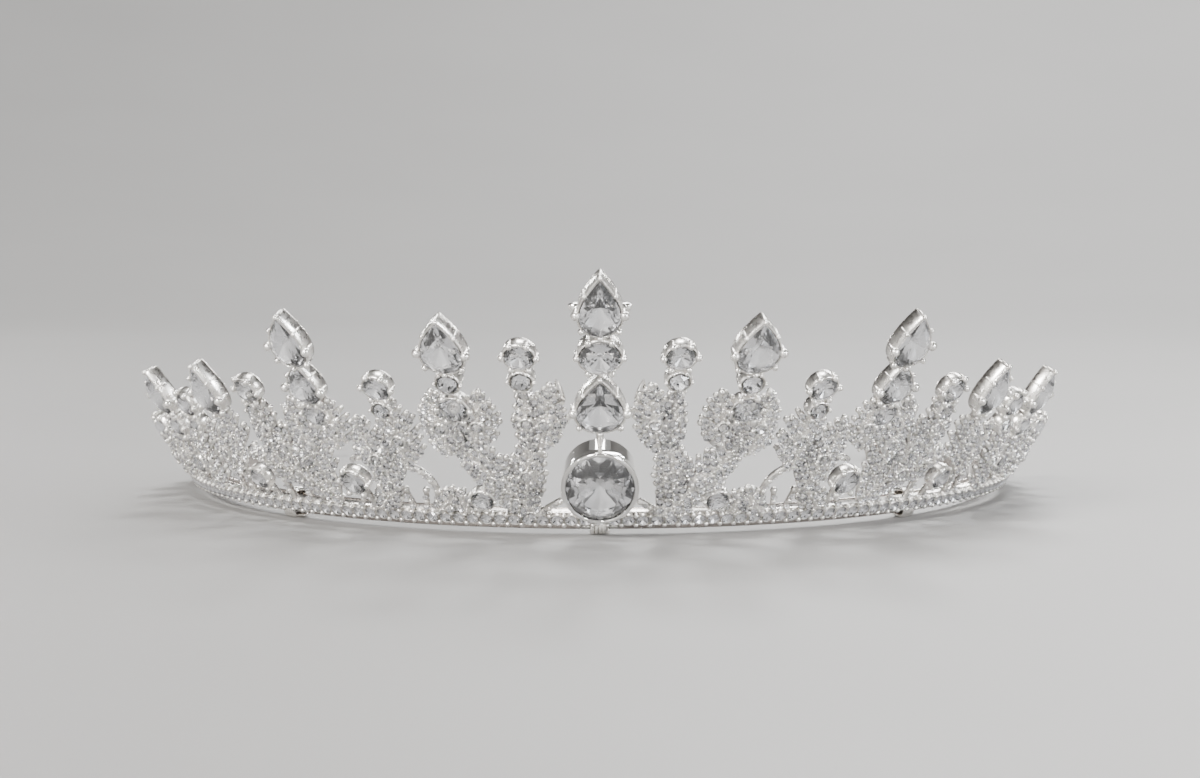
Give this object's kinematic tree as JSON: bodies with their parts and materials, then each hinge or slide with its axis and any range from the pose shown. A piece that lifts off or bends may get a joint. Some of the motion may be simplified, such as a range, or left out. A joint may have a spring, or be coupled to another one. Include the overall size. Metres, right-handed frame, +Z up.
{
  "type": "diadem",
  "caption": "Bridal diadem: plain headband with inturned ends, openwork wall of leaf sprays and spikes, set with clear cut stones.",
  "frame": {"origin": "centre of the bounding box, on the plane on which the bindings and end clamps stand", "axes": "+Z up, away from that plane; the diadem's front faces -Y; +X runs along its width"},
  "size_m": [0.1598, 0.15, 0.0448],
  "materials": {
    "plated_metal": "silver-plated cast alloy, bright, a little darker in its hollows",
    "band_metal": "plated strip, darker and worn",
    "binding_wire": "bright plated wire",
    "clear_stone": "clear cut rhinestone with a bright foiled back"
  },
  "bodies": {
    "root": {"headband": "band_metal", "rear_wire": "band_metal", "openwork_wall": "plated_metal", "binding_centre": "binding_wire", "binding_left": "binding_wire", "binding_right": "binding_wire", "clamp_left": "plated_metal", "clamp_right": "plated_metal", "rim_stones": "clear_stone", "pave_stones": "clear_stone", "centre_oval": "clear_stone", "centre_pear": "clear_stone", "centre_round": "clear_stone", "tip_pear": "clear_stone", "spike_1_round_left": "clear_stone", "spike_2_pear_left": "clear_stone", "spike_2_round_left": "clear_stone", "spike_3_round_left": "clear_stone", "spike_4_pear_left": "clear_stone", "spike_4_low_pear_left": "clear_stone", "spike_4_round_left": "clear_stone", "spike_5_round_left": "clear_stone", "spike_6_pear_left": "clear_stone", "spike_7_round_left": "clear_stone", "spike_8_pear_left": "clear_stone", "spike_8_round_left": "clear_stone", "spike_9_round_left": "clear_stone", "spike_10_round_left": "clear_stone", "low_round_1_left": "clear_stone", "low_round_2_left": "clear_stone", "low_round_3_left": "clear_stone", "low_round_4_left": "clear_stone", "spike_1_round_right": "clear_stone", "spike_2_pear_right": "clear_stone", "spike_2_round_right": "clear_stone", "spike_3_round_right": "clear_stone", "spike_4_pear_right": "clear_stone", "spike_4_low_pear_right": "clear_stone", "spike_4_round_right": "clear_stone", "spike_5_round_right": "clear_stone", "spike_6_pear_right": "clear_stone", "spike_7_round_right": "clear_stone", "spike_8_pear_right": "clear_stone", "spike_8_round_right": "clear_stone", "spike_9_round_right": "clear_stone", "spike_10_round_right": "clear_stone", "low_round_1_right": "clear_stone", "low_round_2_right": "clear_stone", "low_round_3_right": "clear_stone", "low_round_4_right": "clear_stone"}
  },
  "joints": []
}
